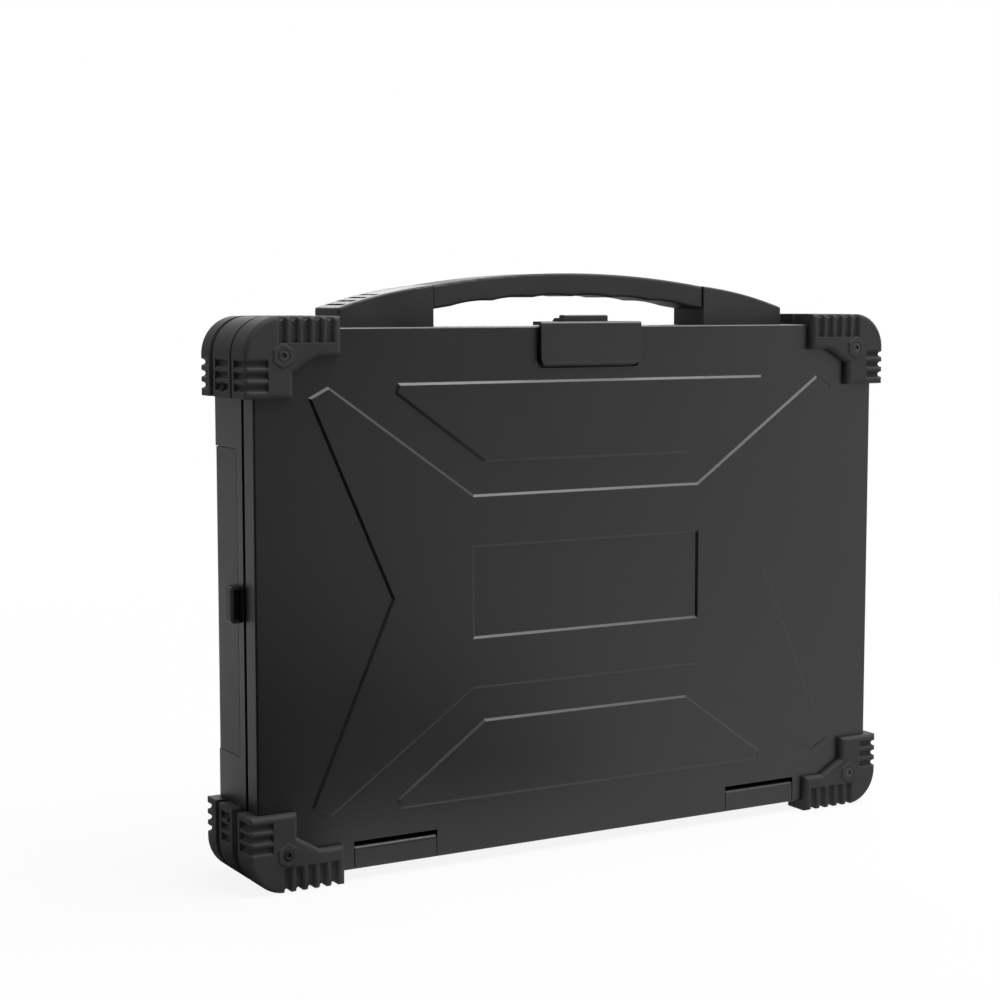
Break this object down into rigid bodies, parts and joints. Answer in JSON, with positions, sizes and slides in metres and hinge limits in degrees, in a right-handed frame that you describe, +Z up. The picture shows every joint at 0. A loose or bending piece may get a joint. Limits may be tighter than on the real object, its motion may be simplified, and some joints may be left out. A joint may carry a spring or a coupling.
{
  "type": "laptop hard case",
  "caption": "Foam-lined clamshell hard case for a laptop: embossed lid on knuckle hinges, ribbed rubber corner bumpers, top handle, top latch and a side port door.",
  "frame": {"origin": "centre of the case's footprint on the surface it stands on, under the lower corner bumpers", "axes": "+X across the case to the right seen from the lid, +Y from the lid to the back, +Z up towards the handle; the case stands closed on its hinge edge"},
  "size_m": [0.412, 0.0616, 0.32],
  "materials": {
    "case_metal": "satin",
    "fitting_metal": "satin",
    "bumper_rubber": "matte",
    "seal_rubber": "matte",
    "handle_plastic": "matte",
    "grip_rubber": "matte",
    "foam": "matte",
    "steel": "satin"
  },
  "bodies": {
    "base": {"back_foam": "foam", "band_screws": "steel", "base_shell": "case_metal", "bottom_foam": "foam", "corner_band_bottom_left": "bumper_rubber", "corner_band_bottom_right": "bumper_rubber", "corner_band_top_left": "bumper_rubber", "corner_band_top_right": "bumper_rubber", "door_pin": "steel", "door_seal": "seal_rubber", "handle_block_left": "handle_plastic", "handle_block_right": "handle_plastic", "handle_bolts": "steel", "handle_core": "steel", "handle_grip": "grip_rubber", "hinge_cover_left": "fitting_metal", "hinge_cover_right": "fitting_metal", "hinge_screws": "steel", "hinge_sleeve_left": "steel", "hinge_sleeve_right": "steel", "keeper_screws": "steel", "latch_keeper": "steel", "left_foam": "foam", "rear_cap_bottom_left": "bumper_rubber", "rear_cap_bottom_right": "bumper_rubber", "rear_cap_screws": "steel", "rear_cap_top_left": "bumper_rubber", "rear_cap_top_right": "bumper_rubber", "right_foam": "foam", "rim_seal": "seal_rubber", "top_foam": "foam"},
    "lid": {"lid_shell": "case_metal", "lid_foam": "foam", "lid_cap_top_left": "bumper_rubber", "lid_cap_top_right": "bumper_rubber", "lid_cap_bottom_left": "bumper_rubber", "lid_cap_bottom_right": "bumper_rubber", "lid_cap_screws": "steel", "hinge_pin_left": "steel", "hinge_pin_right": "steel", "latch_pin": "steel", "latch_spring": "steel"},
    "latch": {"latch_lever": "fitting_metal", "latch_hook": "steel", "latch_rivets": "steel"},
    "port_door": {"door_panel": "fitting_metal", "door_pull": "handle_plastic"}
  },
  "joints": [
    {"name": "lid_hinge", "type": "hinge", "parent": "base", "child": "lid", "pos_m": [0, -0.01975, 0.01225], "axis": [1, 0, 0], "range_deg": [0, 90]},
    {"name": "latch_pivot", "type": "hinge", "parent": "lid", "child": "latch", "pos_m": [0, -0.02175, 0.276], "axis": [1, 0, 0], "range_deg": [0, 25], "stiffness_Nm_per_rad": 0.15, "springref_deg": -22.92},
    {"name": "port_door_hinge", "type": "hinge", "parent": "base", "child": "port_door", "pos_m": [-0.1976, 0.02335, 0.1485], "axis": [0, 0, -1], "range_deg": [0, 100]}
  ]
}
